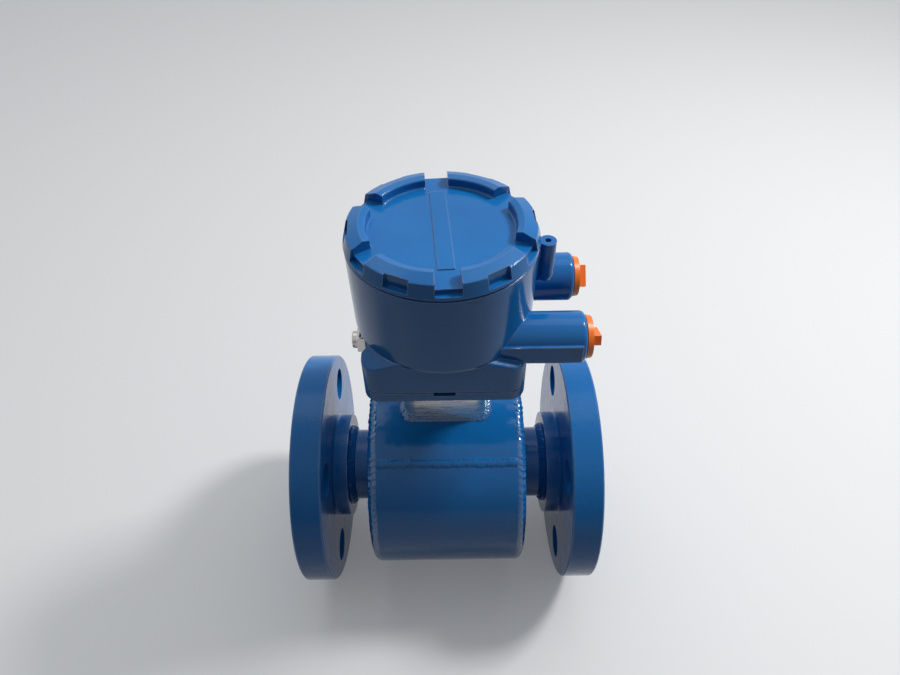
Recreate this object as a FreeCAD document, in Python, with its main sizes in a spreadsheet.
"""Electromagnetic flow meter, flanged, with a junction box on its neck.

The origin is the middle of the flow tube's axis.  +X runs along the pipe towards the outlet,
+Z rises through the neck to the junction box, and -Y is the front.  Sizes are in millimetres.
Every driving dimension is a cell of the sheet, and every feature is bound to those cells.
"""
import FreeCAD, Part
import math
import os
import re
import Sketcher

App = FreeCAD
PARTS_FOLDER = "parts"
SHEET = "Sizes"

# The driving dimensions: name, value and what it is.
SIZES = [
    # Flow tube, liner and flanges
    ("face_to_face", 200.0, "length over the liner's flared faces"),
    ("bore_diameter", 38.0, "bore of the liner"),
    ("tube_diameter", 48.3, "outside of the flow tube"),
    ("tube_wall", 2.77, "wall of the flow tube"),
    ("flare_thickness", 3.4, "liner turned over the raised face"),
    ("flare_margin", 1.6, "raised face left bare round the flare"),
    ("flange_diameter", 155.4, "outside of each flange"),
    ("flange_thickness", 19.0, "flange disc without its raised face"),
    ("flange_edge", 0.8, "chamfer on the flange rim"),
    ("hub_diameter", 69.9, "hub behind the flange disc"),
    ("hub_projection", 9.6, "hub behind the flange disc"),
    ("raised_face_diameter", 73.2, "sealing face"),
    ("raised_face_height", 1.6, "sealing face"),
    ("bolt_circle_diameter", 114.3, "flange bolt circle"),
    ("bolt_hole_diameter", 22.2, "flange bolt holes"),
    ("bolt_count", 4, "flange bolt holes"),
    ("pipe_weld", 4.0, "leg of the weld between hub and tube"),
    # Electrodes
    ("electrode_head_diameter", 10.0, "wetted disc"),
    ("electrode_recess", 0.5, "disc set back from the bore"),
    ("electrode_head_thickness", 1.6, "wetted disc"),
    ("electrode_shank_diameter", 4.4, "pin through the tube wall"),
    ("electrode_reach", 17.0, "pin outside the tube"),
    ("bush_flange_diameter", 15.0, "insulating bush outside the tube"),
    ("bush_flange_thickness", 3.4, "insulating bush outside the tube"),
    ("electrode_nut_width", 8.0, "across flats"),
    ("electrode_nut_height", 4.0, "nut on the pin"),
    # Coils and magnetic circuit
    ("coil_length", 58.0, "saddle coil along the pipe"),
    ("coil_width", 40.0, "saddle coil across the pipe"),
    ("coil_thickness", 8.0, "winding, outwards from the tube"),
    ("winding_width", 9.0, "side of the winding"),
    ("coil_corner", 8.0, "outer corners of the winding"),
    ("coil_window_corner", 2.0, "inner corners of the winding"),
    ("pole_clearance", 0.3, "between pole piece and winding"),
    ("return_gap", 0.6, "between winding and return ring"),
    ("return_thickness", 2.0, "wall of the flux return ring"),
    ("return_length", 66.0, "flux return ring"),
    ("return_window_diameter", 18.0, "window for each electrode"),
    # Coil housing
    ("housing_diameter", 132.0, "outside of the coil housing"),
    ("housing_length", 99.0, "over both end plates"),
    ("housing_wall", 2.5, "rolled sheet"),
    ("end_plate_thickness", 3.0, "welded end plates"),
    ("corner_round", 5.5, "rounded weld between shell and end plate"),
    ("seam_angle", 35.3, "lengthwise weld, from the top towards the front"),
    ("seam_bead_radius", 5.0, "lengthwise weld"),
    ("seam_bead_height", 0.8, "lengthwise weld above the shell"),
    ("plate_weld", 3.0, "leg of the weld between end plate and tube"),
    # Neck
    ("neck_length", 53.0, "neck along the pipe"),
    ("neck_width", 25.2, "neck across the pipe"),
    ("neck_corner", 9.0, "neck corners"),
    ("neck_wall", 2.5, "neck wall"),
    ("neck_bead_width", 3.0, "weld round the neck's foot"),
    ("neck_bead_height", 2.0, "weld round the neck's foot"),
    # Junction box
    ("base_underside", 120.4, "underside of the base plate above the axis"),
    ("base_plate_thickness", 6.8, "base plate"),
    ("base_plate_round", 1.1, "lower edge of the base plate"),
    ("gasket_thickness", 0.6, "between base plate and box"),
    ("gasket_inset", 0.9, "gasket edge behind the walls"),
    ("box_width", 87.5, "square foot of the box"),
    ("box_corner", 9.0, "corners of the square foot"),
    ("corner_level", 144.0, "top of the foot at its sharp corner"),
    ("corner_slope", 21.3, "fall of each corner facet, in degrees"),
    ("foot_top", 152.0, "top of the square foot inside the bowl"),
    ("foot_edge_round", 1.2, "edge between each facet and the sides"),
    ("bowl_level", 150.5, "start of the bowl's straight side"),
    ("bowl_diameter", 98.2, "bowl at its foot"),
    ("rim_flare", 0.9, "rim outside the bowl's foot"),
    ("rim_round", 0.7, "outer edge of the rim"),
    ("bowl_round", 5.6, "round under the bowl"),
    ("box_rim", 197.8, "rim of the bowl above the axis"),
    ("cavity_floor", 138.0, "floor of the wiring space"),
    ("cavity_step", 153.0, "ledge in the wiring space"),
    ("bowl_wall", 5.9, "wall of the bowl at its foot"),
    ("cavity_foot_diameter", 76.0, "wiring space in the foot"),
    ("thread_wall", 5.8, "wall of the rim outside the cover's thread"),
    ("thread_bore_depth", 13.5, "bore for the cover's thread"),
    ("lead_hole_diameter", 18.0, "hole for the leads"),
    ("pry_slot_width", 12.0, "slot in the parting line"),
    ("pry_slot_height", 2.4, "slot in the parting line"),
    ("pry_slot_depth", 3.0, "slot in the parting line"),
    ("base_screw_pitch", 67.0, "square of four screws"),
    ("base_screw_diameter", 5.0, "screws of the base plate"),
    ("base_screw_head_diameter", 8.5, "socket heads"),
    ("base_screw_head_height", 5.0, "socket heads"),
    ("base_screw_reach", 8.0, "screw in the box"),
    # Conduit entries
    ("hub_spacing", 50.0, "between the two conduit entries"),
    ("hub_level", 150.0, "conduit entries above the axis"),
    ("conduit_hub_diameter", 28.0, "conduit entries"),
    ("hub_reach", 25.5, "conduit entries outside the bowl's foot"),
    ("conduit_hub_round", 2.5, "edge of the conduit entries"),
    ("conduit_bore_diameter", 20.6, "thread bore of the entries"),
    ("hub_pad_rise", 6.0, "top of the flat pad above the entry's axis"),
    ("hub_pad_drop", 4.7, "foot of the flat pad below the entry's axis"),
    ("hub_pad_height", 0.2, "face of the flat pad outside the entry"),
    ("hub_pad_setback", 2.5, "pad end behind the entry's end"),
    # Lock boss
    ("boss_standoff", 5.4, "lock boss's axis outside the bowl's foot"),
    ("boss_diameter", 9.0, "lock boss"),
    ("boss_top", 195.0, "top of the lock boss"),
    ("boss_bottom", 169.0, "foot of the lock boss"),
    ("boss_web", 5.0, "web between boss and bowl"),
    ("lock_screw_diameter", 3.4, "set screw in the lock boss"),
    ("lock_screw_length", 12.0, "set screw in the lock boss"),
    ("lock_screw_sink", 3.5, "set screw below the boss top"),
    # Cover
    ("cover_gap", 0.8, "between bowl rim and cover"),
    ("cover_overhang", 0.2, "cover's foot outside the rim"),
    ("ring_taper", 1.8, "outer top edge of the lugged ring inside the cover's foot"),
    ("ring_slope_width", 6.7, "sloped part of the lugged ring"),
    ("ring_flat_width", 3.7, "nearly flat part of the lugged ring"),
    ("ring_outer_level", 8.5, "outer edge of the lugged ring above the cover's foot"),
    ("ring_crest_level", 10.8, "crest of the lugged ring above the cover's foot"),
    ("ring_inner_level", 10.1, "inner edge of the lugged ring above the cover's foot"),
    ("cover_edge_round", 0.7, "outer edges of the cover"),
    ("ring_inner_round", 1.1, "inner edge of the lugged ring, and its foot"),
    ("disc_level", 4.9, "centre disc above the cover's foot"),
    ("disc_thickness", 4.6, "centre disc"),
    ("lug_count", 6, "lugs round the cover"),
    ("cover_turned", 3.8, "turn of the gaps from the front, in degrees"),
    ("gap_width", 12.4, "gaps between the lugs"),
    ("recess_width", 12.8, "recesses in the rim"),
    ("recess_depth", 3.4, "recesses in the rim"),
    ("lip_height", 2.1, "rim left under each recess"),
    ("strip_height", 0.5, "raised strip across the disc"),
    ("strip_width", 8.4, "raised strip across the disc"),
    ("strip_margin", 5.0, "strip's end inside the lugged ring"),
    ("skirt_length", 10.0, "threaded skirt below the cover's foot"),
    ("skirt_wall", 4.0, "threaded skirt"),
    ("thread_clearance", 0.4, "skirt inside the bowl's bore"),
    ("ring_cord", 2.6, "section of the O-ring"),
    ("ring_clearance", 0.3, "round the O-ring"),
    # Terminal block
    ("terminal_length", 56.0, "terminal block along the pipe"),
    ("terminal_width", 34.0, "terminal block across the pipe"),
    ("terminal_height", 11.0, "terminal block"),
    ("terminal_corner", 5.0, "terminal block corners"),
    ("terminal_count", 5, "terminals in each row"),
    ("terminal_pitch", 9.4, "between terminals"),
    ("terminal_row", 9.0, "rows from the middle"),
    ("terminal_barrier", 1.6, "wall between terminals"),
    ("terminal_well", 4.0, "depth of the terminal wells"),
    ("terminal_screw_diameter", 6.0, "terminal screw heads"),
    ("terminal_screw_height", 2.2, "terminal screw heads"),
    ("lead_diameter", 8.0, "sheathed bundle of coil and electrode leads"),
    # Ground terminal
    ("ground_level", 134.5, "ground terminal above the axis"),
    ("ground_setback", 9.0, "ground terminal in front of the middle"),
    ("ground_pad_diameter", 11.0, "pad on the box wall"),
    ("ground_pad_height", 3.4, "pad on the box wall"),
    ("ground_recess_depth", 3.0, "recess in the foot round the ground terminal"),
    ("ground_recess_width", 40.0, "recess in the foot round the ground terminal"),
    ("ground_recess_lip", 1.5, "wall left under the recess"),
    ("clamp_width", 10.0, "square clamp"),
    ("clamp_thickness", 1.5, "clamp sheet"),
    ("clamp_depth", 4.6, "clamp over its flanges"),
    ("ground_screw_diameter", 4.8, "ground screw"),
    ("ground_head_diameter", 9.6, "ground screw head"),
    ("ground_head_height", 2.8, "ground screw head"),
    ("ground_screw_reach", 9.5, "ground screw in the wall"),
    # Conduit plugs
    ("plug_gap", 0.3, "between entry and plug flange"),
    ("plug_flange_diameter", 23.8, "plug flange"),
    ("plug_flange_thickness", 3.1, "plug flange"),
    ("plug_shank_length", 12.0, "plug in the entry"),
    ("plug_wall", 1.8, "wall of the plug"),
    ("plug_clearance", 0.35, "plug in the entry"),
    ("plug_grip_length", 12.4, "bar across the plug to turn it by"),
    ("plug_grip_width", 5.4, "bar across the plug"),
    ("plug_grip_height", 4.8, "bar across the plug"),
    ("front_plug_turned", -23.0, "turn of the front plug's bar, in degrees"),
    ("rear_plug_turned", 45.0, "turn of the rear plug's bar, in degrees"),
]

# Values worked out from the driving dimensions.
FORMULAS = {
    "tube_radius": "tube_diameter / 2",
    "tube_inner": "tube_diameter / 2 - tube_wall",
    "tube_end": "face_to_face / 2 - flare_thickness",
    "flange_back": "tube_end - raised_face_height - flange_thickness",
    "flange_front": "tube_end - raised_face_height",
    "hub_back": "flange_back - hub_projection",
    "flare_radius": "raised_face_diameter / 2 - flare_margin",
    "bush_flange_top": "tube_radius + bush_flange_thickness",
    "disc_face": "bore_diameter / 2 + electrode_recess",
    "disc_back": "disc_face + electrode_head_thickness",
    "coil_outer": "tube_radius + coil_thickness",
    "return_inner": "coil_outer + return_gap",
    "return_outer": "return_inner + return_thickness",
    "housing_radius": "housing_diameter / 2",
    "housing_inner": "housing_radius - housing_wall",
    "shell_end": "housing_length / 2 - end_plate_thickness",
    "plate_face": "housing_length / 2",
    "plate_radius": "housing_radius - corner_round",
    "corner_start": "plate_face - corner_round",
    "base_top": "base_underside + base_plate_thickness",
    "box_bottom": "base_top + gasket_thickness",
    "bowl_radius": "bowl_diameter / 2",
    "rim_radius": "bowl_radius + rim_flare",
    "cavity_radius": "bowl_radius - bowl_wall",
    "box_half": "box_width / 2",
    "thread_radius": "rim_radius - thread_wall",
    "hub_end": "bowl_radius + hub_reach",
    "boss_axis": "bowl_radius + boss_standoff",
    "cover_foot": "box_rim + cover_gap",
    "cover_radius": "rim_radius + cover_overhang",
    "ring_outer": "cover_radius - ring_taper",
    "ring_crest": "ring_outer - ring_slope_width",
    "ring_inner": "ring_crest - ring_flat_width",
    "shoulder_level": "cover_foot + ring_outer_level",
    "ring_edge_level": "cover_foot + ring_inner_level",
    "disc_top": "cover_foot + disc_level",
    "disc_under": "disc_top - disc_thickness",
    "skirt_radius": "thread_radius - thread_clearance",
    "skirt_inner": "skirt_radius - skirt_wall",
    "skirt_end": "cover_foot - skirt_length",
    "groove_top": "cover_foot - cover_gap",
    "groove_floor": "skirt_radius - ring_cord - ring_clearance / 2",
    "groove_height": "ring_cord + 2 * ring_clearance",
    "ring_level": "groove_top - groove_height / 2",
    "ring_radius": "skirt_radius - ring_cord / 2",
    "conduit_radius": "conduit_bore_diameter / 2",
    "terminal_top": "cavity_floor + terminal_height",
    "recess_wall": "box_half - ground_recess_depth",
    "ground_seat": "recess_wall + ground_pad_height",
    "clamp_face": "ground_seat + clamp_depth",
    "plug_seat": "hub_end + plug_gap",
    "plug_face": "plug_seat + plug_flange_thickness",
    "plug_radius": "conduit_radius - plug_clearance",
}

NAMES = {name: number for name, number, _ in SIZES}

doc = App.newDocument("FlowMeter")
sheet = doc.addObject("Spreadsheet::Sheet", SHEET)


def fill_sheet():
    """Write each driving dimension as a row: its name, its number under an alias, and a note."""
    for row, (name, number, note) in enumerate(SIZES, start=1):
        sheet.set("A%d" % row, name)
        sheet.set("B%d" % row, str(number))
        sheet.setAlias("B%d" % row, name)
        sheet.set("C%d" % row, note)
    doc.recompute()


def bound(text):
    """The formula with each name replaced by its cell, or by its own formula in brackets."""
    def swap(match):
        word = match.group(0)
        if word in FORMULAS:
            return "(" + bound(FORMULAS[word]) + ")"
        if word in NAMES:
            return SHEET + "." + word
        return word
    return re.sub(r"[a-z][a-z_]+", swap, text)


def value(text):
    """The number that a formula gives with the sheet as it stands."""
    return float(sheet.evalExpression(bound(text)))


# Helpers for bodies, sketches and features

def new_body(label):
    """An empty body whose label names its file."""
    body = doc.addObject("PartDesign::Body", "Body")
    body.Label = label
    return body


def new_sketch(body, role, lift=None):
    """A sketch on one of the body's own planes, lifted along the plane's normal."""
    sketch = body.newObject("Sketcher::SketchObject", "Sketch")
    plane = next(item for item in body.Origin.OriginFeatures if item.Role == role)
    sketch.AttachmentSupport = [(plane, "")]
    sketch.MapMode = "FlatFace"
    if lift:
        sketch.setExpression("AttachmentOffset.Base.z", bound(lift))
    return sketch


def pin(sketch, kind, number, x_or_y):
    """Hold the start of an edge at a distance from the origin, bound to a formula."""
    index = sketch.addConstraint(Sketcher.Constraint(kind, -1, 1, number[0], number[1], value(x_or_y)))
    sketch.setExpression("Constraints[%d]" % index, bound(x_or_y))


def draw_outline(sketch, corners):
    """Add a closed outline of straight edges whose corners are pairs of formulas."""
    first = sketch.GeometryCount
    points = [App.Vector(value(x), value(y), 0) for x, y in corners]
    count = len(points)
    for index, point in enumerate(points):
        sketch.addGeometry(Part.LineSegment(point, points[(index + 1) % count]), False)
    for index in range(count):
        following = first + (index + 1) % count
        sketch.addConstraint(Sketcher.Constraint("Coincident", first + index, 2, following, 1))
    for index, (x, y) in enumerate(corners):
        pin(sketch, "DistanceX", (first + index, 1), x)
        pin(sketch, "DistanceY", (first + index, 1), y)
    return sketch


def draw_circle(sketch, x, y, radius):
    """Add a circle with its centre and radius bound to formulas."""
    centre = App.Vector(value(x), value(y), 0)
    index = sketch.addGeometry(Part.Circle(centre, App.Vector(0, 0, 1), value(radius)), False)
    pin(sketch, "DistanceX", (index, 3), x)
    pin(sketch, "DistanceY", (index, 3), y)
    held = sketch.addConstraint(Sketcher.Constraint("Radius", index, value(radius)))
    sketch.setExpression("Constraints[%d]" % held, bound(radius))
    return sketch


def draw_rounded(sketch, half_x, half_y, corner):
    """Add a rectangle about the origin with rounded corners, all bound to formulas."""
    half_x, half_y, corner = ("(%s)" % text for text in (half_x, half_y, corner))
    long, wide, radius = value(half_x), value(half_y), value(corner)
    first = sketch.GeometryCount
    for quarter, (x, y) in enumerate([(1, -1), (1, 1), (-1, 1), (-1, -1)]):
        centre = App.Vector(x * (long - radius), y * (wide - radius), 0)
        circle = Part.Circle(centre, App.Vector(0, 0, 1), radius)
        start = math.radians(90 * (quarter - 1))
        arc = sketch.addGeometry(Part.ArcOfCircle(circle, start, start + math.pi / 2), False)
        pin(sketch, "DistanceX", (arc, 3), "%d * (%s - %s)" % (x, half_x, corner))
        pin(sketch, "DistanceY", (arc, 3), "%d * (%s - %s)" % (y, half_y, corner))
    for quarter in range(4):
        arc, following = first + quarter, first + (quarter + 1) % 4
        ends = [sketch.getPoint(arc, 2), sketch.getPoint(following, 1)]
        side = sketch.addGeometry(Part.LineSegment(ends[0], ends[1]), False)
        sketch.addConstraint(Sketcher.Constraint("Tangent", arc, 2, side, 1))
        sketch.addConstraint(Sketcher.Constraint("Tangent", side, 2, following, 1))
    for quarter in range(1, 4):
        sketch.addConstraint(Sketcher.Constraint("Equal", first, first + quarter))
    held = sketch.addConstraint(Sketcher.Constraint("Radius", first, radius))
    sketch.setExpression("Constraints[%d]" % held, bound(corner))
    return sketch


def rectangle(half_x, half_y):
    """Corners of a rectangle about the origin."""
    return [("-(%s)" % half_x, "-(%s)" % half_y), (half_x, "-(%s)" % half_y),
            (half_x, half_y), ("-(%s)" % half_x, half_y)]


def box_outline(left, bottom, right, top):
    """Corners of an upright rectangle from its four sides."""
    return [(left, bottom), (right, bottom), (right, top), (left, top)]


def draw_axis(sketch, x, low, high):
    """Add an upright construction line to turn an outline about, and give the axis's name."""
    ends = [App.Vector(value(x), value(y), 0) for y in (low, high)]
    line = sketch.addGeometry(Part.LineSegment(*ends), True)
    for end, y in ((1, low), (2, high)):
        pin(sketch, "DistanceX", (line, end), x)
        pin(sketch, "DistanceY", (line, end), y)
    return "Axis0"


def round_points(across, up, radius, angles):
    """Points on an arc about a centre, as pairs of formulas, one for each angle in degrees."""
    return [("%s + %s * cos(%d)" % (across, radius, angle), "%s + %s * sin(%d)" % (up, radius, angle))
            for angle in angles]


def extrude(body, kind, sketch, length, both=False, reverse=False):
    """Pad or pocket a sketch by a bound length, to one side or evenly to both."""
    before = body.Shape.Volume if body.Tip else 0
    feature = body.newObject("PartDesign::" + kind, kind)
    feature.Profile = (sketch, [""])
    feature.SideType = "Symmetric" if both else "One side"
    feature.Reversed = reverse
    feature.setExpression("Length", bound(length))
    return checked(body, feature, before, kind == "Pocket")


def spin(body, kind, sketch, axis="V_Axis"):
    """Revolve or groove a sketch a whole turn about one of its own axes."""
    before = body.Shape.Volume if body.Tip else 0
    feature = body.newObject("PartDesign::" + kind, kind)
    feature.Profile = (sketch, [""])
    feature.ReferenceAxis = (sketch, [axis])
    feature.Angle = 360
    return checked(body, feature, before, kind == "Groove")


def checked(body, feature, before, cuts):
    """Recompute, and stop if the feature failed, added nothing or cut nothing."""
    doc.recompute()
    if "Invalid" in feature.State or "Error" in feature.State:
        raise RuntimeError("%s of %s failed" % (feature.Name, body.Label))
    gained = body.Shape.Volume - before
    if (cuts and gained > -1e-3) or (not cuts and gained < 1e-3):
        raise RuntimeError("%s of %s changed nothing" % (feature.Name, body.Label))
    return feature


def repeat_round(body, features, role, count):
    """Repeat features evenly round one of the body's axes."""
    pattern = body.newObject("PartDesign::PolarPattern", "PolarPattern")
    pattern.Originals = features
    axis = next(item for item in body.Origin.OriginFeatures if item.Role == role)
    pattern.Axis = (axis, [""])
    pattern.Angle = 360
    pattern.setExpression("Occurrences", bound(count))
    body.Tip = pattern
    doc.recompute()
    return pattern


def repeat_along(body, features, role, count, span):
    """Repeat features evenly over a span along one of the body's axes."""
    pattern = body.newObject("PartDesign::LinearPattern", "LinearPattern")
    pattern.Originals = features
    axis = next(item for item in body.Origin.OriginFeatures if item.Role == role)
    pattern.Direction = (axis, [""])
    pattern.setExpression("Length", bound(span))
    pattern.setExpression("Occurrences", bound(count))
    body.Tip = pattern
    doc.recompute()
    return pattern


def mirror(body, features, role):
    """Mirror features in one of the body's planes."""
    copy = body.newObject("PartDesign::Mirrored", "Mirrored")
    copy.Originals = features
    plane = next(item for item in body.Origin.OriginFeatures if item.Role == role)
    copy.MirrorPlane = (plane, [""])
    body.Tip = copy
    doc.recompute()
    return copy


def finish_edges(body, kind, size, wanted):
    """Round or chamfer the edges of the body's tip that the test picks."""
    base = body.Tip
    names = ["Edge%d" % number for number, edge in enumerate(base.Shape.Edges, start=1) if wanted(edge)]
    feature = body.newObject("PartDesign::" + kind, kind)
    feature.Base = (base, names)
    feature.setExpression("Radius" if kind == "Fillet" else "Size", bound(size))
    doc.recompute()
    if not names or "Invalid" in feature.State:
        raise RuntimeError("%s of %s failed" % (kind, body.Label))
    return feature


def circle_at(axis, place, radius):
    """A test for a whole circle in one plane, about an axis, of one radius."""
    def test(edge):
        curve = edge.Curve
        if not isinstance(curve, Part.Circle):
            return False
        return abs(getattr(curve.Center, axis) - place) < 1e-4 and abs(curve.Radius - radius) < 1e-4
    return test


def turn_about(body, axis, angle):
    """Turn a finished body about an axis through the origin."""
    body.Placement = App.Placement(App.Vector(0, 0, 0), App.Rotation(axis, angle))
    return body


def pad_ring(body, role, outer, inner, length):
    """A plain ring about the plane's normal, symmetric about the plane."""
    sketch = new_sketch(body, role)
    draw_circle(sketch, "0", "0", outer)
    draw_circle(sketch, "0", "0", inner)
    return extrude(body, "Pad", sketch, length, both=True)


# Flow tube, liner, flanges

def bore_for_electrodes(body):
    """A hole through both sides of a tube for the electrodes."""
    sketch = draw_circle(new_sketch(body, "XZ_Plane"), "0", "0", "electrode_head_diameter / 2")
    return extrude(body, "Pocket", sketch, "2 * tube_diameter", both=True)


def make_flow_tube():
    """The stainless pipe between the raised faces, pierced for the electrodes."""
    body = new_body("flow_tube")
    pad_ring(body, "YZ_Plane", "tube_radius", "tube_inner", "2 * tube_end")
    bore_for_electrodes(body)
    return body


def make_liner():
    """The insulating sleeve, turned outwards over both raised faces."""
    body = new_body("liner")
    end, turned = "face_to_face / 2", "tube_end"
    corners = [("-(%s)" % end, "bore_diameter / 2"), (end, "bore_diameter / 2"),
               (end, "flare_radius"), (turned, "flare_radius"), (turned, "tube_inner"),
               ("-(%s)" % turned, "tube_inner"), ("-(%s)" % turned, "flare_radius"),
               ("-(%s)" % end, "flare_radius")]
    sketch = draw_outline(new_sketch(body, "XZ_Plane"), corners)
    spin(body, "Revolution", sketch, "H_Axis")
    bore_for_electrodes(body)
    return body


def make_flange(label, turned):
    """A slip-on flange: disc, raised face and hub, with the weld that joins the hub to the tube."""
    body = new_body(label)
    edge = "flange_edge"
    corners = [("tube_end", "tube_radius"), ("tube_end", "raised_face_diameter / 2"),
               ("flange_front", "raised_face_diameter / 2"),
               ("flange_front", "flange_diameter / 2 - " + edge),
               ("flange_front - " + edge, "flange_diameter / 2"),
               ("flange_back + " + edge, "flange_diameter / 2"),
               ("flange_back", "flange_diameter / 2 - " + edge),
               ("flange_back", "hub_diameter / 2 + 1"), ("flange_back - 1", "hub_diameter / 2"),
               ("hub_back", "hub_diameter / 2"), ("hub_back", "tube_radius + pipe_weld"),
               ("hub_back - pipe_weld", "tube_radius")]
    spin(body, "Revolution", draw_outline(new_sketch(body, "XZ_Plane"), corners), "H_Axis")
    place = "bolt_circle_diameter / 2 * cos(180 / bolt_count)"
    across = "bolt_circle_diameter / 2 * sin(180 / bolt_count)"
    hole = draw_circle(new_sketch(body, "YZ_Plane", "tube_end"), across, place, "bolt_hole_diameter / 2")
    pocket = extrude(body, "Pocket", hole, "flange_thickness + 2 * raised_face_height")
    repeat_round(body, [pocket], "X_Axis", "bolt_count")
    return turn_about(body, App.Vector(0, 0, 1), 180) if turned else body


# Electrodes, coils and magnetic circuit

def spun_across(label, corners, turned):
    """A turned piece about the Y axis, at the rear, or at the front when turned about."""
    body = new_body(label)
    spin(body, "Revolution", draw_outline(new_sketch(body, "XY_Plane"), corners), "V_Axis")
    return turn_about(body, App.Vector(0, 0, 1), 180) if turned else body


def make_electrode(label, turned):
    """The wetted disc and the pin that carries its signal through the tube wall."""
    corners = [("0", "disc_face"), ("electrode_head_diameter / 2", "disc_face"),
               ("electrode_head_diameter / 2", "disc_back"),
               ("electrode_shank_diameter / 2", "disc_back"),
               ("electrode_shank_diameter / 2", "tube_radius + electrode_reach"),
               ("0", "tube_radius + electrode_reach")]
    return spun_across(label, corners, turned)


def make_electrode_bush(label, turned):
    """The insulating bush between the pin and the tube wall."""
    corners = [("electrode_shank_diameter / 2", "disc_back"),
               ("electrode_head_diameter / 2", "disc_back"),
               ("electrode_head_diameter / 2", "tube_radius"),
               ("bush_flange_diameter / 2", "tube_radius"),
               ("bush_flange_diameter / 2", "bush_flange_top"),
               ("electrode_shank_diameter / 2", "bush_flange_top")]
    return spun_across(label, corners, turned)


def make_electrode_nut(label, turned):
    """The hexagon nut that draws the disc against its seat."""
    body = new_body(label)
    sketch = new_sketch(body, "XZ_Plane", "-(bush_flange_top)")
    across_corners = "electrode_nut_width / 2 / cos(30)"
    corners = [("%s * cos(%d)" % (across_corners, angle), "%s * sin(%d)" % (across_corners, angle))
               for angle in range(0, 360, 60)]
    draw_outline(sketch, corners)
    draw_circle(sketch, "0", "0", "electrode_shank_diameter / 2")
    extrude(body, "Pad", sketch, "electrode_nut_height", reverse=True)
    return turn_about(body, App.Vector(0, 0, 1), 180) if turned else body


def saddle(body, half_x, half_y, corner, outer):
    """A rounded block over the tube, cut to the tube below and to a radius above."""
    sketch = draw_rounded(new_sketch(body, "XY_Plane"), half_x, half_y, corner)
    extrude(body, "Pad", sketch, "return_outer")
    trim = draw_circle(new_sketch(body, "YZ_Plane"), "0", "0", "tube_radius")
    extrude(body, "Pocket", trim, "2 * coil_length", both=True)
    shell = new_sketch(body, "YZ_Plane")
    draw_circle(shell, "0", "0", "2 * return_outer")
    draw_circle(shell, "0", "0", outer)
    extrude(body, "Pocket", shell, "2 * coil_length", both=True)


def make_coil(label, turned):
    """A racetrack winding bent over the tube."""
    body = new_body(label)
    saddle(body, "coil_length / 2", "coil_width / 2", "coil_corner", "coil_outer")
    window = new_sketch(body, "XY_Plane")
    draw_rounded(window, "coil_length / 2 - winding_width", "coil_width / 2 - winding_width",
                 "coil_window_corner")
    extrude(body, "Pocket", window, "return_outer", reverse=True)
    return turn_about(body, App.Vector(1, 0, 0), 180) if turned else body


def make_pole(label, turned):
    """The iron core that fills the winding's window, from the tube to the return ring."""
    body = new_body(label)
    saddle(body, "coil_length / 2 - winding_width - pole_clearance",
           "coil_width / 2 - winding_width - pole_clearance", "coil_window_corner", "return_inner")
    return turn_about(body, App.Vector(1, 0, 0), 180) if turned else body


def make_return_ring():
    """The rolled iron ring that closes the magnetic circuit round both coils."""
    body = new_body("flux_return_ring")
    pad_ring(body, "YZ_Plane", "return_outer", "return_inner", "return_length")
    window = draw_circle(new_sketch(body, "XZ_Plane"), "0", "0", "return_window_diameter / 2")
    extrude(body, "Pocket", window, "4 * return_outer", both=True)
    return body


# Coil housing and neck

def draw_neck_section(body, lift, grow):
    """The neck's rounded section, grown outwards by an amount."""
    return draw_rounded(new_sketch(body, "XY_Plane", lift), "neck_length / 2 + " + grow,
                        "neck_width / 2 + " + grow, "neck_corner + " + grow)


def make_coil_housing():
    """The rolled shell with its rounded end welds, its lengthwise weld and the window under the neck."""
    body = new_body("coil_housing")
    pad_ring(body, "YZ_Plane", "housing_radius", "housing_inner", "2 * corner_start")
    corner = round_points("corner_start", "plate_radius", "corner_round", (90, 72, 54, 36, 18, 0))
    weld = [("shell_end", "plate_radius"), ("shell_end", "housing_inner"), ("corner_start", "housing_inner")]
    bead = draw_outline(new_sketch(body, "XZ_Plane"), weld + corner)
    mirror(body, [spin(body, "Revolution", bead, "H_Axis")], "YZ_Plane")
    seam_radius = "(housing_radius + seam_bead_height - seam_bead_radius)"
    seam = draw_circle(new_sketch(body, "YZ_Plane"), "-%s * sin(seam_angle)" % seam_radius,
                       "%s * cos(seam_angle)" % seam_radius, "seam_bead_radius")
    extrude(body, "Pad", seam, "2 * corner_start", both=True)
    hollow = draw_circle(new_sketch(body, "YZ_Plane"), "0", "0", "housing_inner")
    extrude(body, "Pocket", hollow, "2 * shell_end", both=True)
    window = draw_neck_section(body, "0", "-neck_wall - neck_bead_width")
    extrude(body, "Pocket", window, "housing_diameter", reverse=True)
    return body


def make_end_plate(label, turned):
    """The ring that closes one end of the housing, with its weld to the flow tube."""
    body = new_body(label)
    corners = [("shell_end", "tube_radius"), ("plate_face + plate_weld", "tube_radius"),
               ("plate_face", "tube_radius + plate_weld"), ("plate_face", "plate_radius"),
               ("shell_end", "plate_radius")]
    spin(body, "Revolution", draw_outline(new_sketch(body, "XZ_Plane"), corners), "H_Axis")
    return turn_about(body, App.Vector(0, 0, 1), 180) if turned else body


def make_neck():
    """The stainless collar from the coil housing up to the base plate."""
    body = new_body("neck")
    sketch = draw_neck_section(body, "0", "0")
    extrude(body, "Pad", sketch, "base_underside")
    inside = draw_neck_section(body, "0", "-neck_wall")
    extrude(body, "Pocket", inside, "base_underside", reverse=True)
    foot = draw_circle(new_sketch(body, "YZ_Plane"), "0", "0", "housing_radius")
    extrude(body, "Pocket", foot, "2 * neck_length", both=True)
    return body


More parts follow.
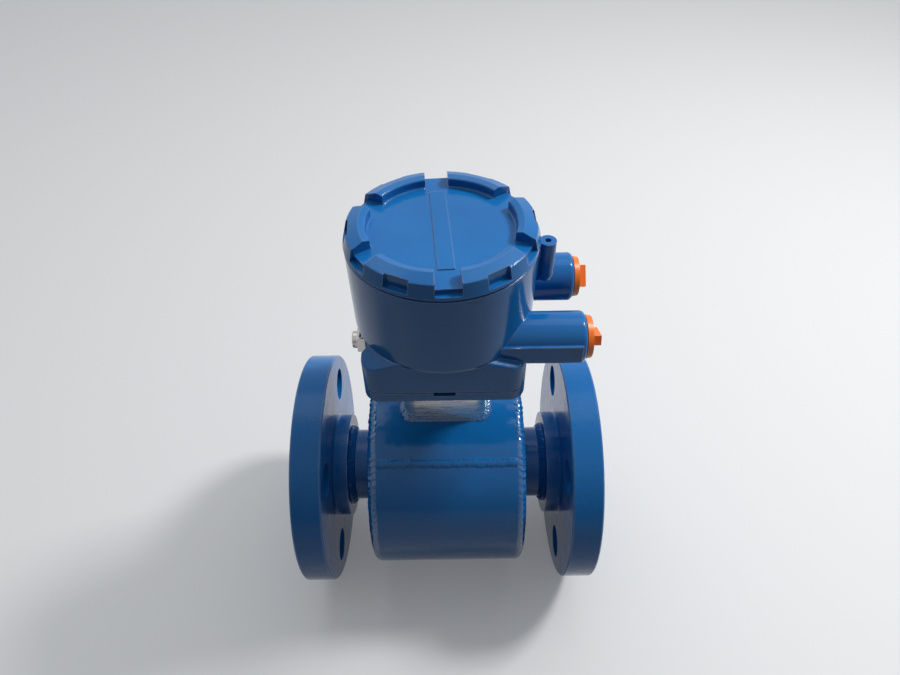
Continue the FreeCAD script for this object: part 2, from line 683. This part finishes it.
def make_neck_weld():
    """The weld round the neck's foot, lying on the coil housing."""
    body = new_body("neck_weld")
    extrude(body, "Pad", draw_neck_section(body, "0", "neck_bead_width"), "housing_diameter")
    inside = draw_neck_section(body, "0", "0")
    extrude(body, "Pocket", inside, "housing_diameter", reverse=True)
    trim_to_housing(body, "neck_bead_height")
    return body


def trim_to_housing(body, height):
    """Keep only what lies on the coil housing, up to a height above it."""
    above = new_sketch(body, "YZ_Plane")
    draw_circle(above, "0", "0", "housing_diameter * 2")
    draw_circle(above, "0", "0", "housing_radius + " + height)
    extrude(body, "Pocket", above, "2 * neck_length", both=True)
    foot = draw_circle(new_sketch(body, "YZ_Plane"), "0", "0", "housing_radius")
    extrude(body, "Pocket", foot, "2 * neck_length", both=True)


# Base plate, gasket and box

def make_base_plate():
    """The square plate on the neck, with the pry slot in its front edge and four screw holes."""
    body = new_body("base_plate")
    sketch = new_sketch(body, "XY_Plane", "base_underside")
    draw_rounded(sketch, "box_half", "box_half", "box_corner")
    extrude(body, "Pad", sketch, "base_plate_thickness")
    level = value("base_underside")
    finish_edges(body, "Fillet", "base_plate_round",
                 lambda edge: all(abs(corner.Point.z - level) < 1e-6 for corner in edge.Vertexes))
    slot = draw_outline(new_sketch(body, "XY_Plane", "base_top"),
                        box_outline("-pry_slot_width / 2", "-box_half - 1", "pry_slot_width / 2",
                                    "-box_half + pry_slot_depth"))
    extrude(body, "Pocket", slot, "pry_slot_height")
    hole = draw_circle(new_sketch(body, "XY_Plane", "base_top"), "0", "0", "lead_hole_diameter / 2")
    extrude(body, "Pocket", hole, "base_plate_thickness")
    pitch = "base_screw_pitch / 2"
    shank = draw_circle(new_sketch(body, "XY_Plane", "base_top"), pitch, pitch, "base_screw_diameter / 2")
    shanks = extrude(body, "Pocket", shank, "base_plate_thickness")
    seat = draw_circle(new_sketch(body, "XY_Plane", "base_underside"), pitch, pitch,
                       "base_screw_head_diameter / 2")
    seats = extrude(body, "Pocket", seat, "base_screw_head_height", reverse=True)
    repeat_round(body, [shanks, seats], "Z_Axis", "4")
    return body


def make_gasket():
    """The flat gasket in the parting line between base plate and box."""
    body = new_body("base_gasket")
    half = "box_half - gasket_inset"
    sketch = draw_rounded(new_sketch(body, "XY_Plane", "base_top"), half, half, "box_corner - gasket_inset")
    extrude(body, "Pad", sketch, "gasket_thickness")
    hole = draw_circle(new_sketch(body, "XY_Plane", "base_top"), "0", "0", "lead_hole_diameter / 2")
    extrude(body, "Pocket", hole, "gasket_thickness", reverse=True)
    pitch = "base_screw_pitch / 2"
    shank = draw_circle(new_sketch(body, "XY_Plane", "base_top"), pitch, pitch, "base_screw_diameter / 2")
    shanks = extrude(body, "Pocket", shank, "gasket_thickness", reverse=True)
    repeat_round(body, [shanks], "Z_Axis", "4")
    return body


def make_base_screws():
    """The four socket-head screws that hold the box to the base plate, as one group."""
    shank_radius, head_radius = value("base_screw_diameter / 2"), value("base_screw_head_diameter / 2")
    underside, head = value("base_underside"), value("base_screw_head_height")
    top = value("box_bottom + base_screw_reach")
    socket = Part.makeCylinder(head_radius / 2, head / 2, App.Vector(0, 0, underside))
    screw = Part.makeCylinder(head_radius, head, App.Vector(0, 0, underside)).fuse(
        Part.makeCylinder(shank_radius, top - underside - head, App.Vector(0, 0, underside + head)))
    screw = screw.cut(socket).removeSplitter()
    pitch = value("base_screw_pitch / 2")
    copies = [screw.translated(App.Vector(x, y, 0)) for x in (-pitch, pitch) for y in (-pitch, pitch)]
    return shape_feature("base_screws", Part.makeCompound(copies))


def shape_feature(label, shape):
    """An object that holds a finished shape."""
    feature = doc.addObject("Part::Feature", "Shape")
    feature.Shape = shape
    feature.Label = label
    return feature


def add_box_foot(body):
    """The square foot, its corners sloped down from the bowl."""
    sketch = new_sketch(body, "XY_Plane", "box_bottom")
    draw_rounded(sketch, "box_half", "box_half", "box_corner")
    extrude(body, "Pad", sketch, "foot_top - box_bottom")
    far = "(2 * box_half)"
    peak = "corner_level + box_half * sqrt(2) * tan(corner_slope)"
    facet = new_sketch(body, "XZ_Plane")
    facet.AttachmentOffset = App.Placement(App.Vector(0, 0, 0), App.Rotation(App.Vector(0, 1, 0), 45))
    draw_outline(facet, [("0", peak), (far, "%s - %s * tan(corner_slope)" % (peak, far)), (far, peak)])
    cut = extrude(body, "Pocket", facet, "3 * box_width", both=True)
    repeat_round(body, [cut], "Z_Axis", "4")
    lowest, top = value("corner_level") - 1, value("foot_top")
    finish_edges(body, "Fillet", "foot_edge_round",
                 lambda edge: lowest < edge.BoundBox.ZMin < top - 1e-3)
    cut_ground_recess(body)


def cut_ground_recess(body):
    """The shallow recess round the ground terminal, its ends sloped, open at the top."""
    outside, slope = "-box_half - 1", "(ground_recess_depth + 1)"
    front = "-ground_setback - ground_recess_width / 2"
    back = "-ground_setback + ground_recess_width / 2"
    recess = new_sketch(body, "XY_Plane", "box_bottom + ground_recess_lip")
    draw_outline(recess, [(outside, front + " - " + slope), ("-recess_wall", front),
                          ("-recess_wall", back), (outside, back + " + " + slope)])
    extrude(body, "Pocket", recess, "foot_top", reverse=True)


def add_bowl(body):
    """The round bowl, straight-sided with a round underneath, rising to the rim."""
    arc = round_points("bowl_radius - bowl_round", "bowl_level", "bowl_round", (-90, -68, -45, -22, 0))
    rim = round_points("rim_radius - rim_round", "box_rim - rim_round", "rim_round", (0, 30, 60, 90))
    corners = [("0", "bowl_level - bowl_round")] + arc + rim + [("0", "box_rim")]
    spin(body, "Revolution", draw_outline(new_sketch(body, "XZ_Plane"), corners))


def add_conduit_hub(body, side):
    """One conduit entry, with the flat pad along its outer side."""
    centre = "%s * hub_spacing / 2" % side
    sketch = draw_circle(new_sketch(body, "YZ_Plane", "bowl_radius / 2"), centre, "hub_level",
                         "conduit_hub_diameter / 2")
    extrude(body, "Pad", sketch, "hub_end - bowl_radius / 2")
    end_edge = circle_at("x", value("hub_end"), value("conduit_hub_diameter / 2"))
    finish_edges(body, "Fillet", "conduit_hub_round",
                 lambda edge: end_edge(edge) and edge.Curve.Center.y * side > 0)
    outside = "%s * (hub_spacing / 2 + conduit_hub_diameter / 2 + hub_pad_height)" % side
    top, foot = "hub_level + hub_pad_rise", "hub_level - hub_pad_drop"
    flat = draw_outline(new_sketch(body, "YZ_Plane", "bowl_radius / 2"),
                        [(centre, foot), (outside, foot), (outside, top), (centre, top)])
    extrude(body, "Pad", flat, "hub_end - hub_pad_setback - bowl_radius / 2")


def add_lock_boss(body):
    """The upright boss for the cover's lock screw, on a web from the bowl."""
    axis, inside, radius = "boss_axis", "bowl_radius - boss_web", "boss_diameter / 2"
    web = new_sketch(body, "XZ_Plane")
    draw_outline(web, [(inside, "boss_bottom"), (axis, "boss_bottom + boss_web / 2"),
                       (axis, "boss_top"), (inside, "boss_top")])
    extrude(body, "Pad", web, "boss_web", both=True)
    post = new_sketch(body, "XZ_Plane")
    arc = round_points(axis, "boss_bottom + " + radius, radius, (-60, -30, 0))
    top = [("%s + %s" % (axis, radius), "boss_top"), (axis, "boss_top")]
    draw_outline(post, [(axis, "boss_bottom"), (axis + " + boss_diameter / 8", "boss_bottom")] + arc + top)
    spin(body, "Revolution", post, draw_axis(post, axis, "boss_bottom", "boss_top"))
    hole = draw_circle(new_sketch(body, "XY_Plane", "boss_top"), axis, "0", "lock_screw_diameter / 2")
    extrude(body, "Pocket", hole, "lock_screw_sink + lock_screw_length")


def cut_wiring_space(body):
    """The wiring space: thread bore, bowl, foot and the hole for the leads."""
    rim, thread = "box_rim", "box_rim - thread_bore_depth"
    bowl, foot, hole = "cavity_radius", "cavity_foot_diameter / 2", "lead_hole_diameter / 2"
    sketch = new_sketch(body, "XZ_Plane")
    draw_outline(sketch, [("0", "box_bottom"), (hole, "box_bottom"), (hole, "cavity_floor"),
                          (foot, "cavity_floor"), (foot, "cavity_step"), (bowl, "cavity_step"),
                          (bowl, thread), ("thread_radius", thread), ("thread_radius", rim), ("0", rim)])
    spin(body, "Groove", sketch)


def cut_conduit_bores(body):
    """The two thread bores from the entries into the wiring space."""
    for side in (-1, 1):
        sketch = draw_circle(new_sketch(body, "YZ_Plane", "hub_end"), "%d * hub_spacing / 2" % side,
                             "hub_level", "conduit_radius")
        extrude(body, "Pocket", sketch, "hub_end - cavity_foot_diameter / 4")


def make_junction_box():
    """The cast box: square foot, round bowl, conduit entries, lock boss and ground pad."""
    body = new_body("junction_box")
    add_box_foot(body)
    add_bowl(body)
    for side in (-1, 1):
        add_conduit_hub(body, side)
    add_lock_boss(body)
    pad = draw_circle(new_sketch(body, "YZ_Plane", "-ground_seat"), "-ground_setback", "ground_level",
                      "ground_pad_diameter / 2")
    extrude(body, "Pad", pad, "ground_pad_height + 1")
    cut_wiring_space(body)
    cut_conduit_bores(body)
    pitch = "base_screw_pitch / 2"
    hole = draw_circle(new_sketch(body, "XY_Plane", "box_bottom"), pitch, pitch, "base_screw_diameter / 2")
    holes = extrude(body, "Pocket", hole, "base_screw_reach", reverse=True)
    repeat_round(body, [holes], "Z_Axis", "4")
    screw = draw_circle(new_sketch(body, "YZ_Plane", "-ground_seat"), "-ground_setback", "ground_level",
                        "ground_screw_diameter / 2")
    extrude(body, "Pocket", screw, "ground_screw_reach - clamp_depth", reverse=True)
    return body


# Cover

def cut_cover_gap(body):
    """One gap between lugs, level with the disc and open to the rim."""
    half, inner = "gap_width / 2", "-ring_inner + 2 * ring_inner_round"
    gap = draw_outline(new_sketch(body, "XY_Plane", "disc_top"),
                       box_outline("-" + half, "-cover_radius - 1", half, inner))
    return extrude(body, "Pocket", gap, "ring_crest_level", reverse=True)


def cut_rim_recess(body):
    """One recess in the rim, leaving a lip beneath."""
    half = "recess_width / 2"
    recess = draw_outline(new_sketch(body, "XY_Plane", "cover_foot + lip_height"),
                          box_outline("-" + half, "-cover_radius - 1", half, "-cover_radius + recess_depth"))
    return extrude(body, "Pocket", recess, "ring_crest_level", reverse=True)


def cover_outside():
    """The cover's outside from its foot over the lugged ring to the disc, with its edges rounded."""
    edge, inner = "cover_edge_round", "ring_inner_round"
    foot = round_points("cover_radius - " + edge, "cover_foot + " + edge, edge, (-90, -45, 0))
    shoulder = round_points("ring_outer - " + edge, "shoulder_level - " + edge, edge, (10, 40, 70))
    crest = [("ring_crest", "cover_foot + ring_crest_level")]
    lip = round_points("ring_inner + " + inner, "ring_edge_level - " + inner, inner, (100, 125, 150, 180))
    root = round_points("ring_inner - " + inner, "disc_top + " + inner, inner, (0, -30, -60, -90))
    return foot + shoulder + crest + lip + root


def make_cover():
    """The screwed cover: lugged ring, flat disc with a raised strip, skirt and O-ring groove."""
    body = new_body("cover")
    inside = [("0", "disc_under"), ("skirt_inner", "disc_under"), ("skirt_inner", "skirt_end"),
              ("skirt_radius", "skirt_end"), ("skirt_radius", "groove_top - groove_height"),
              ("groove_floor", "groove_top - groove_height"), ("groove_floor", "groove_top"),
              ("skirt_radius", "groove_top"), ("skirt_radius", "cover_foot")]
    profile = inside + cover_outside() + [("0", "disc_top")]
    spin(body, "Revolution", draw_outline(new_sketch(body, "XZ_Plane"), profile))
    repeat_round(body, [cut_cover_gap(body)], "Z_Axis", "lug_count")
    strip = new_sketch(body, "XY_Plane", "disc_top")
    draw_outline(strip, rectangle("strip_width / 2", "ring_inner - strip_margin"))
    extrude(body, "Pad", strip, "strip_height")
    repeat_round(body, [cut_rim_recess(body)], "Z_Axis", "2 * lug_count")
    body.setExpression("Placement.Rotation.Angle", bound("cover_turned"))
    body.Placement.Rotation.Axis = App.Vector(0, 0, 1)
    return body


def make_cover_ring():
    """The O-ring in the skirt's groove."""
    ring = doc.addObject("Part::Torus", "Torus")
    ring.setExpression("Radius1", bound("ring_radius"))
    ring.setExpression("Radius2", bound("ring_cord / 2"))
    ring.setExpression("Placement.Base.z", bound("ring_level"))
    ring.Label = "cover_o_ring"
    return ring


def make_lock_screw():
    """The set screw in the lock boss, with a hexagon socket."""
    body = new_body("cover_lock_screw")
    top = "boss_top - lock_screw_sink"
    shank = draw_circle(new_sketch(body, "XY_Plane", top), "boss_axis", "0", "lock_screw_diameter / 2")
    extrude(body, "Pad", shank, "lock_screw_length", reverse=True)
    socket = draw_circle(new_sketch(body, "XY_Plane", top), "boss_axis", "0", "lock_screw_diameter / 4")
    extrude(body, "Pocket", socket, "lock_screw_diameter / 2")
    return body


# Inside the box

def make_terminal_block():
    """The moulded block with two rows of wells for the terminal screws."""
    body = new_body("terminal_block")
    sketch = new_sketch(body, "XY_Plane", "cavity_floor")
    draw_rounded(sketch, "terminal_length / 2", "terminal_width / 2", "terminal_corner")
    extrude(body, "Pad", sketch, "terminal_height")
    start = "-terminal_pitch * (terminal_count - 1) / 2"
    half = "(terminal_pitch - terminal_barrier) / 2"
    wells = []
    for side in ("-1", "1"):
        middle = side + " * terminal_row"
        well = draw_outline(new_sketch(body, "XY_Plane", "terminal_top"),
                            box_outline(start + " - " + half, middle + " - " + half,
                                        start + " + " + half, middle + " + " + half))
        wells.append(extrude(body, "Pocket", well, "terminal_well"))
    repeat_along(body, wells, "X_Axis", "terminal_count", "terminal_pitch * (terminal_count - 1)")
    return body


def make_terminal_screws():
    """The slotted terminal screws, one in each well, as one group."""
    radius, height = value("terminal_screw_diameter / 2"), value("terminal_screw_height")
    level = value("terminal_top - terminal_well")
    screw = Part.makeCylinder(radius, height, App.Vector(0, 0, level))
    corner = App.Vector(-radius, -radius / 6, level + height / 2)
    slot = Part.makeBox(2 * radius, radius / 3, height / 2, corner)
    screw = screw.cut(slot)
    count = int(value("terminal_count"))
    pitch, row = value("terminal_pitch"), value("terminal_row")
    places = [App.Vector((index - (count - 1) / 2) * pitch, side * row, 0)
              for index in range(count) for side in (-1, 1)]
    return shape_feature("terminal_screws", Part.makeCompound([screw.translated(place) for place in places]))


def make_lead_bundle():
    """The sheathed leads from the coils and electrodes up to the terminal block."""
    bundle = doc.addObject("Part::Cylinder", "Cylinder")
    bundle.setExpression("Radius", bound("lead_diameter / 2"))
    bundle.setExpression("Height", bound("cavity_floor - return_outer"))
    bundle.setExpression("Placement.Base.z", bound("return_outer"))
    bundle.Label = "lead_bundle"
    return bundle


# Ground terminal and conduit plugs

def make_ground_clamp():
    """The square stainless clamp, a channel whose flanges stand on the pad."""
    body = new_body("ground_clamp")
    front, back = "ground_setback + clamp_width / 2", "ground_setback - clamp_width / 2"
    corners = [("-clamp_face", "-(%s)" % front), ("-ground_seat", "-(%s)" % front),
               ("-ground_seat", "-(%s) + clamp_thickness" % front),
               ("-clamp_face + clamp_thickness", "-(%s) + clamp_thickness" % front),
               ("-clamp_face + clamp_thickness", "-(%s) - clamp_thickness" % back),
               ("-ground_seat", "-(%s) - clamp_thickness" % back), ("-ground_seat", "-(%s)" % back),
               ("-clamp_face", "-(%s)" % back)]
    channel = draw_outline(new_sketch(body, "XY_Plane", "ground_level"), corners)
    extrude(body, "Pad", channel, "clamp_width", both=True)
    hole = draw_circle(new_sketch(body, "YZ_Plane", "-clamp_face"), "-ground_setback", "ground_level",
                       "ground_screw_diameter / 2")
    extrude(body, "Pocket", hole, "clamp_thickness", reverse=True)
    return body


def make_ground_screw():
    """The pan-head ground screw through the clamp into the box wall."""
    body = new_body("ground_screw")
    head = draw_circle(new_sketch(body, "YZ_Plane", "-clamp_face"), "-ground_setback", "ground_level",
                       "ground_head_diameter / 2")
    extrude(body, "Pad", head, "ground_head_height", reverse=True)
    outer = -value("clamp_face + ground_head_height")
    finish_edges(body, "Fillet", "ground_head_height / 3",
                 circle_at("x", outer, value("ground_head_diameter / 2")))
    shank = draw_circle(new_sketch(body, "YZ_Plane", "-clamp_face"), "-ground_setback", "ground_level",
                        "ground_screw_diameter / 2")
    extrude(body, "Pad", shank, "ground_screw_reach")
    slot = draw_outline(new_sketch(body, "YZ_Plane", "-clamp_face - ground_head_height"),
                        box_outline("-ground_setback - ground_head_diameter", "ground_level - 0.6",
                                    "-ground_setback + ground_head_diameter", "ground_level + 0.6"))
    extrude(body, "Pocket", slot, "ground_head_height / 2", reverse=True)
    return body


def make_conduit_plug(label, side, turned):
    """A moulded shipping plug: hollow shank, flange and a bar to turn it by."""
    body = new_body(label)
    corners = [("plug_seat - plug_shank_length", "plug_radius"),
               ("plug_seat", "plug_radius"), ("plug_seat", "plug_flange_diameter / 2"),
               ("plug_face", "plug_flange_diameter / 2 - plug_wall / 3"), ("plug_face", "0"),
               ("plug_seat", "0"), ("plug_seat", "plug_radius - plug_wall"),
               ("plug_seat - plug_shank_length", "plug_radius - plug_wall")]
    spin(body, "Revolution", draw_outline(new_sketch(body, "XZ_Plane"), corners), "H_Axis")
    grip = draw_outline(new_sketch(body, "YZ_Plane", "plug_face"),
                        rectangle("plug_grip_length / 2", "plug_grip_width / 2"))
    extrude(body, "Pad", grip, "plug_grip_height")
    body.Placement.Rotation = App.Rotation(App.Vector(1, 0, 0), value(turned))
    body.setExpression("Placement.Base.y", bound("%s * hub_spacing / 2" % side))
    body.setExpression("Placement.Base.z", bound("hub_level"))
    return body


def make_parts():
    """Every sub-part of the flow meter."""
    parts = [make_flow_tube(), make_liner(), make_coil_housing(), make_neck(), make_neck_weld(),
             make_return_ring(), make_base_plate(), make_gasket(), make_base_screws(),
             make_junction_box(), make_cover(), make_cover_ring(), make_lock_screw(),
             make_terminal_block(), make_terminal_screws(), make_lead_bundle(),
             make_ground_clamp(), make_ground_screw()]
    for name, turned in (("inlet", True), ("outlet", False)):
        parts.append(make_flange(name + "_flange", turned))
        parts.append(make_end_plate(name + "_end_plate", turned))
    for name, turned in (("front", True), ("rear", False)):
        parts.append(make_electrode(name + "_electrode", turned))
        parts.append(make_electrode_bush(name + "_electrode_bush", turned))
        parts.append(make_electrode_nut(name + "_electrode_nut", turned))
    for name, turned in (("upper", False), ("lower", True)):
        parts.append(make_coil(name + "_coil", turned))
        parts.append(make_pole(name + "_pole_piece", turned))
    parts.append(make_conduit_plug("front_conduit_plug", -1, "front_plug_turned"))
    parts.append(make_conduit_plug("rear_conduit_plug", 1, "rear_plug_turned"))
    return parts


def write_parts(parts):
    """Check every object and every sub-part's shape, then write the shapes."""
    doc.recompute()
    failed = [item.Name for item in doc.Objects if "Invalid" in item.State or "Error" in item.State]
    failed += [part.Label for part in parts if part.Shape.isNull() or not part.Shape.isValid()]
    if failed:
        raise RuntimeError("failed: " + ", ".join(failed))
    os.makedirs(PARTS_FOLDER, exist_ok=True)
    for part in parts:
        part.Shape.exportStep(os.path.join(PARTS_FOLDER, part.Label + ".step"))
        print("%-22s %d solid(s) %10.1f mm3" % (part.Label, len(part.Shape.Solids), part.Shape.Volume))


fill_sheet()
write_parts(make_parts())
